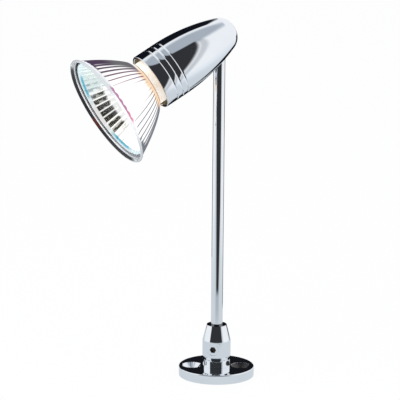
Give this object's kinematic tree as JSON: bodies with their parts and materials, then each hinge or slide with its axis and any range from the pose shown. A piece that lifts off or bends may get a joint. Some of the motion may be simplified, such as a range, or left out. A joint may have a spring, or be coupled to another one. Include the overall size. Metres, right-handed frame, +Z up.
{
  "type": "screw-down stem spotlight",
  "caption": "Display spotlight that screws down: a round base with a clamp collar, a slim stem and a tilting bullet head that holds a faceted reflector lamp.",
  "frame": {"origin": "centre of the base plate's underside, on the stem's axis", "axes": "+Z up along the stem, -Y the way the head points, tilted 27 degrees down at rest, +X to the head's side"},
  "size_m": [0.0508, 0.0807, 0.1567],
  "materials": {
    "polished_chrome": "mirror polished",
    "nickel_steel": "nickel plated",
    "spring_steel": "plain",
    "brass_thread": "plain",
    "white_bush": "moulded",
    "lead_sleeve": "matt",
    "holder_ceramic": "unglazed",
    "cement": "rough",
    "mirror_glass": "pressed glass with a dichroic mirror coating inside",
    "cover_glass": "clear",
    "quartz": "clear",
    "tungsten": "drawn wire"
  },
  "bodies": {
    "base": {"base_plate": "polished_chrome", "foot_nipple": "brass_thread", "foot_nut": "brass_thread", "lock_washer": "spring_steel", "collar": "polished_chrome"},
    "set_screw": {"set_screw": "nickel_steel"},
    "stem": {"stem_tube": "polished_chrome", "cable_bush": "white_bush", "stem_knuckle": "nickel_steel", "stem_leads": "lead_sleeve"},
    "head": {"head_housing": "polished_chrome", "head_yoke": "nickel_steel", "pivot_screw": "nickel_steel", "pivot_nut": "nickel_steel", "friction_washers": "spring_steel", "housing_screw": "nickel_steel", "lampholder": "holder_ceramic", "contact_sleeves": "nickel_steel", "holder_screws": "nickel_steel", "head_leads": "lead_sleeve"},
    "lamp": {"lamp_reflector": "mirror_glass", "front_glass": "cover_glass", "quartz_bulb": "quartz", "lamp_cement": "cement", "lamp_pins": "nickel_steel", "filament": "tungsten"}
  },
  "joints": [
    {"name": "stem_swivel", "type": "hinge", "parent": "base", "child": "stem", "pos_m": [0, 0, 0.015], "axis": [0, 0, 1], "range_deg": [-175, 175]},
    {"name": "set_screw_out", "type": "slide", "parent": "base", "child": "set_screw", "axis": [0.7431, -0.6691, 0], "range_m": [0, 0.0015]},
    {"name": "head_tilt", "type": "hinge", "parent": "stem", "child": "head", "pos_m": [0, 0, 0.149], "axis": [-1, 0, 0], "range_deg": [-16, 72], "deforming": ["head_leads"]},
    {"name": "lamp_pull", "type": "slide", "parent": "head", "child": "lamp", "axis": [0, -0.891, -0.454], "range_m": [0, 0.024]}
  ]
}
